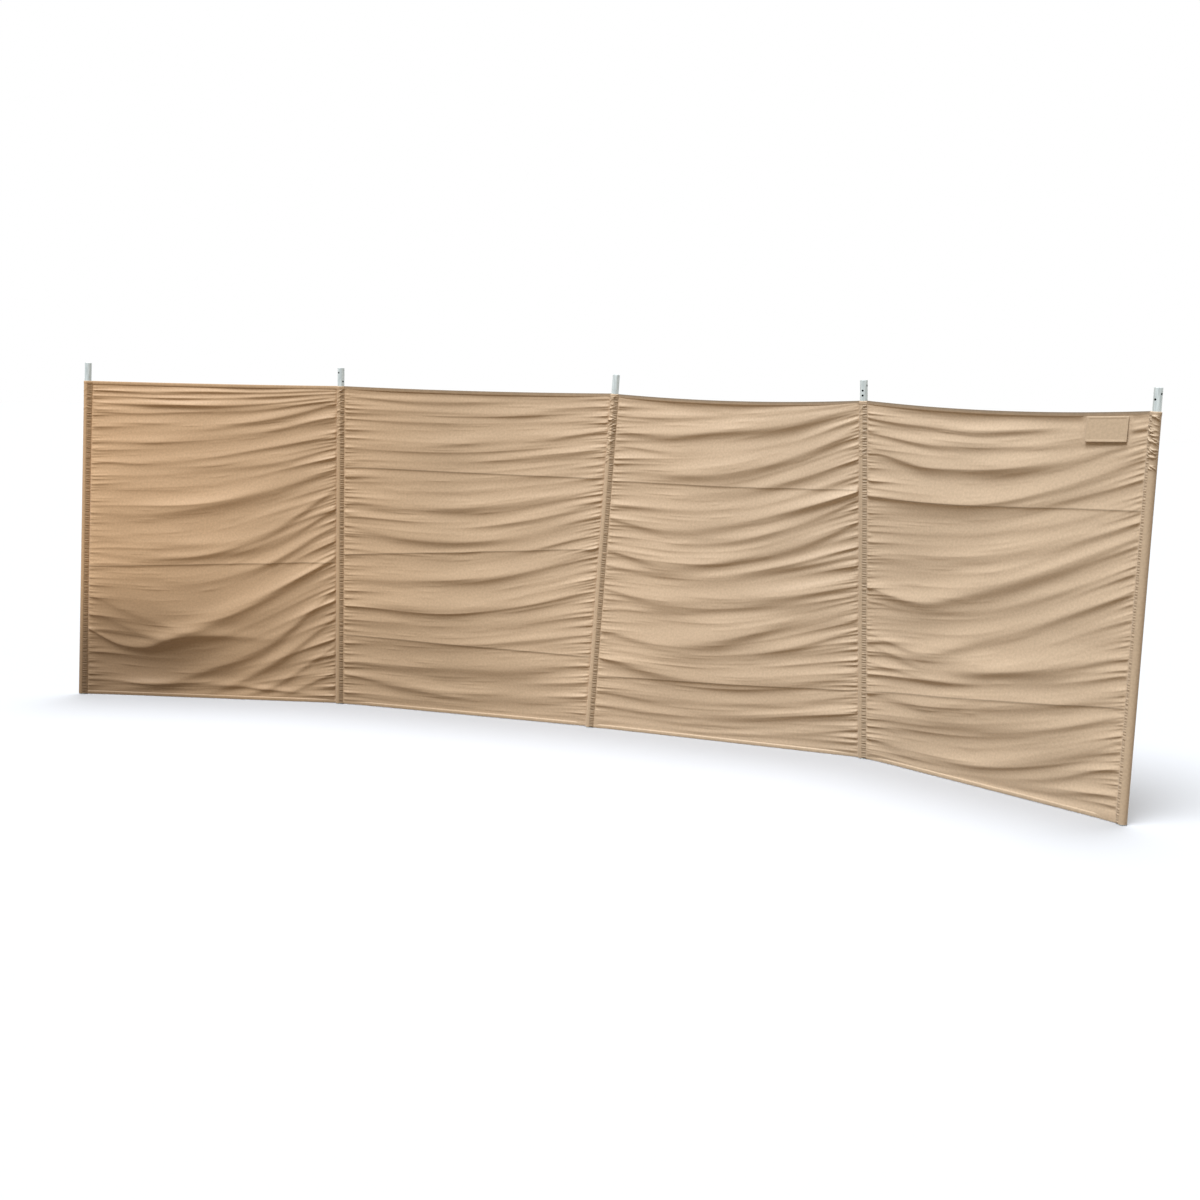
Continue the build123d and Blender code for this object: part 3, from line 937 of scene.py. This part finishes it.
def sleeve_relief(draw, pole, height, degrees):
    """How far a sleeve's cloth stands out from its tube, and its share of painted shade in the grooves of its
    sewing.
    """
    start, end = SLEEVE_SEAMS
    sewn = smooth_step(start - STITCH_SPAN, start + STITCH_INNER_SPAN, degrees)
    sewn = sewn * (1 - smooth_step(end - STITCH_INNER_SPAN, end + STITCH_SPAN, degrees))
    ladder = ladder_rungs(draw, height, degrees)
    relief = LADDER_DEPTH * sewn * (ladder - LADDER_LEVEL_SHARE)
    relief = relief + PLEAT_DEPTHS[pole] * pleats(draw, pole, height, degrees)
    # Painted shade in the valleys between the puckers and along the stitched lines
    painted_shade_share = sewn * np.clip(1 - ladder, 0, 1)
    for line in SLEEVE_SEAMS:
        stitched = hump(degrees - line, STITCH_SPAN)
        relief = relief - STITCH_DEPTH * stitched
        painted_shade_share = np.maximum(painted_shade_share, STITCH_PAINTED_SHADE_SHARE * stitched)
    hem = smooth_step(CLOTH_TOP - HEM_HEIGHT, CLOTH_TOP - HEM_LIFT_SHARE * HEM_HEIGHT, height)
    return relief + HEM_LIFT * hem, painted_shade_share * (1 - hem)


def sleeve_section(pole, degrees):
    """Radius of a sleeve round its pole: round, but flat on the front where it is sewn down."""
    start = math.radians(BAND_START)
    begin = SLEEVE_RADIUS * np.array([math.sin(start), math.cos(start)])
    finish = np.array([BAND_REACHES[pole], BAND_FRONT])
    side, front = unit(finish - begin)
    angle = np.radians(degrees)
    facing = np.maximum(np.cos(angle) * side - np.sin(angle) * front, FLAT_LIMIT)
    flat = (begin[1] * side - begin[0] * front) / facing
    wide = np.linalg.norm(finish)
    round_it = SLEEVE_RADIUS + (wide - SLEEVE_RADIUS) * (1 - smooth_step(*BAND_BACK, degrees))
    return np.where(degrees > BAND_START, np.minimum(flat, wide), round_it)


def make_sleeve(pole):
    """Sleeve of a pole: a strip wrapped round it, with its two edges sewn to the bay beside it."""
    draw = np.random.default_rng(SEED + BAYS + pole)
    neighbours = [other for other in (pole - 1, pole + 1) if 0 <= other < POLES]
    right = unit(sum(towards(pole, other) * (1 if other > pole else -1) for other in neighbours))
    front = np.cross(right, axes[pole])
    height = np.linspace(CLOTH_TOP, CLOTH_BOTTOM, SLEEVE_ROWS)[:, None]
    degrees = np.concatenate([np.linspace(*SLEEVE_BACK), np.linspace(*SLEEVE_FRONT)])[None, :]
    relief, painted_shade_share = sleeve_relief(draw, pole, height, degrees)
    section = sleeve_section(pole, degrees)
    radius = section + relief
    radius[0] = section[0] - SLEEVE_LIP
    angle = np.radians(degrees)
    direction = np.cos(angle)[..., None] * front + np.sin(angle)[..., None] * BAND_SIDES[pole] * right
    points = feet[pole] + height[..., None] * axes[pole] + radius[..., None] * direction
    points[..., 2] = np.maximum(points[..., 2], GROUND_CLEARANCE)
    flat = flat_grid(angle * SLEEVE_RADIUS, height)
    faces = [face[::BAND_SIDES[pole]] for face in grid_faces(*radius.shape)]
    piece = add_piece(f"sleeve_{pole + 1}_cloth", points, faces, flat, sewn_cloth)
    # Painted shade in the grooves of the sewing
    mark_points(piece, "painted_shade_share", GROOVE_PAINTED_SHADE_SHARES[pole] * painted_shade_share)
    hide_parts(f"sleeve_{pole + 1}")


# Sleeves round the poles
for pole in range(POLES):
    make_sleeve(pole)


def make_patch():
    """Bare patch that hangs under the top hem of the last bay, over the folds behind it."""
    share = np.linspace(0, 1, PATCH_COLUMNS)[None, :]
    drop = np.linspace(0, 1, PATCH_ROWS)[:, None]
    inset = PATCH_INSET - seam_reach(PATCH_BAY + 1, PATCH_BAY)
    across = 1 - (inset + (1 - share) * PATCH_WIDTH) / bay_width(PATCH_BAY)
    down = (HEM_HEIGHT + drop * PATCH_HEIGHT) / CLOTH_HEIGHT
    behind = bay_relief(PATCH_BAY, across, down) + bay_belly(PATCH_BAY, across, down)
    behind = behind.max(axis=1)[:, None]
    hung = HEM_THICKNESS / 2 + PATCH_THICKNESS
    lean = np.max((behind[1:] + 2 * PATCH_THICKNESS - hung) / drop[1:])
    edge = np.minimum(np.minimum(share, 1 - share) * PATCH_WIDTH, np.minimum(drop, 1 - drop) * PATCH_HEIGHT)
    border = PATCH_TURN_DEPTH * (1 - smooth_step(PATCH_TURN_SHARE * PATCH_TURN, PATCH_TURN, edge))
    lift = hung + max(lean, PATCH_STAND) * drop + border
    points = bay_ground(PATCH_BAY, across, down) + lift[..., None] * bay_front(PATCH_BAY)
    flat = flat_grid(share * PATCH_WIDTH, drop * PATCH_HEIGHT)
    faces = grid_faces(PATCH_ROWS, PATCH_COLUMNS)
    piece = add_piece("patch_cloth", points, faces, flat, sewn_cloth)
    thicken(piece, PATCH_THICKNESS)
    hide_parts("label_patch")


make_patch()


def seen_directly(tree):
    """Socket that is 1 where the surroundings are seen, directly, in a reflection or through a piece."""
    path = tree.nodes.new("ShaderNodeLightPath")
    seen = path.outputs["Is Camera Ray"]
    for ray in ("Is Glossy Ray", "Is Transmission Ray"):
        seen = larger(tree, seen, path.outputs[ray])
    return seen


def make_floor():
    """Pale floor that keeps the shadow."""
    bpy.ops.mesh.primitive_plane_add(size=FLOOR_SIZE, location=(0, 0, 0))
    floor = bpy.context.object
    floor.name = "floor"
    material, tree, shader = new_material("floor")
    shader.inputs["Roughness"].default_value = 1
    shader.inputs["Specular IOR Level"].default_value = 0
    mix = tree.nodes.new("ShaderNodeMix")
    mix.data_type = "RGBA"
    mix.inputs["A"].default_value = (*GROUND_COLOUR, 1)
    mix.inputs["B"].default_value = (*FLOOR_COLOUR, 1)
    tree.links.new(seen_directly(tree), mix.inputs["Factor"])
    tree.links.new(mix.outputs["Result"], shader.inputs["Base Color"])
    floor.data.materials.append(material)


def make_surroundings():
    """Soft light from the sky, in surroundings that are seen as white."""
    world = bpy.data.worlds.new("surroundings")
    bpy.context.scene.world = world
    world.use_nodes = True
    tree = world.node_tree
    light = tree.nodes["Background"]
    light.inputs["Color"].default_value = (*SKY_COLOUR, 1)
    light.inputs["Strength"].default_value = SKY_STRENGTH
    white = tree.nodes.new("ShaderNodeBackground")
    white.inputs["Color"].default_value = (1, 1, 1, 1)
    white.inputs["Strength"].default_value = 1
    mix = tree.nodes.new("ShaderNodeMixShader")
    tree.links.new(seen_directly(tree), mix.inputs["Fac"])
    tree.links.new(light.outputs["Background"], mix.inputs[1])
    tree.links.new(white.outputs["Background"], mix.inputs[2])
    tree.links.new(mix.outputs["Shader"], tree.nodes["World Output"].inputs["Surface"])


def add_light(name, strength, spread, height, turn):
    """Soft light from far off, at degrees above the ground and turned from the front."""
    lamp = bpy.data.lights.new(name, "SUN")
    lamp.energy = strength
    lamp.color = LIGHT_COLOUR
    lamp.angle = math.radians(spread)
    light = bpy.data.objects.new(name, lamp)
    light.rotation_euler = (math.pi / 2 - math.radians(height), 0, math.radians(turn))
    bpy.context.scene.collection.objects.link(light)


def make_camera():
    """The photograph's camera."""
    azimuth, pitch, roll = (math.radians(a) for a in (CAMERA_AZIMUTH, CAMERA_PITCH, CAMERA_ROLL))
    level = np.array([-math.sin(azimuth), math.cos(azimuth), 0])
    ahead = math.cos(pitch) * level - math.sin(pitch) * np.array([0, 0, 1])
    right = np.array([math.cos(azimuth), math.sin(azimuth), 0])
    below = np.cross(ahead, right)
    turned = math.cos(roll) * right + math.sin(roll) * below
    above = math.sin(roll) * right - math.cos(roll) * below
    lens = bpy.data.cameras.new("camera")
    lens.sensor_width = SENSOR_WIDTH
    lens.lens = CAMERA_LENS
    camera = bpy.data.objects.new("camera", lens)
    matrix = np.eye(4)
    matrix[:3] = np.stack([turned, above, -ahead, CAMERA_PLACE], axis=1)
    camera.matrix_world = Matrix(matrix.tolist())
    bpy.context.scene.collection.objects.link(camera)
    bpy.context.scene.camera = camera


make_floor()
make_surroundings()
add_light("key", LIGHT_STRENGTH, LIGHT_SPREAD, LIGHT_HEIGHT, -LIGHT_LEFT)
add_light("back", BACK_LIGHT_STRENGTH, BACK_LIGHT_SPREAD, BACK_LIGHT_HEIGHT, BACK_LIGHT_TURN)
make_camera()
bpy.context.scene.view_settings.view_transform = "Standard"
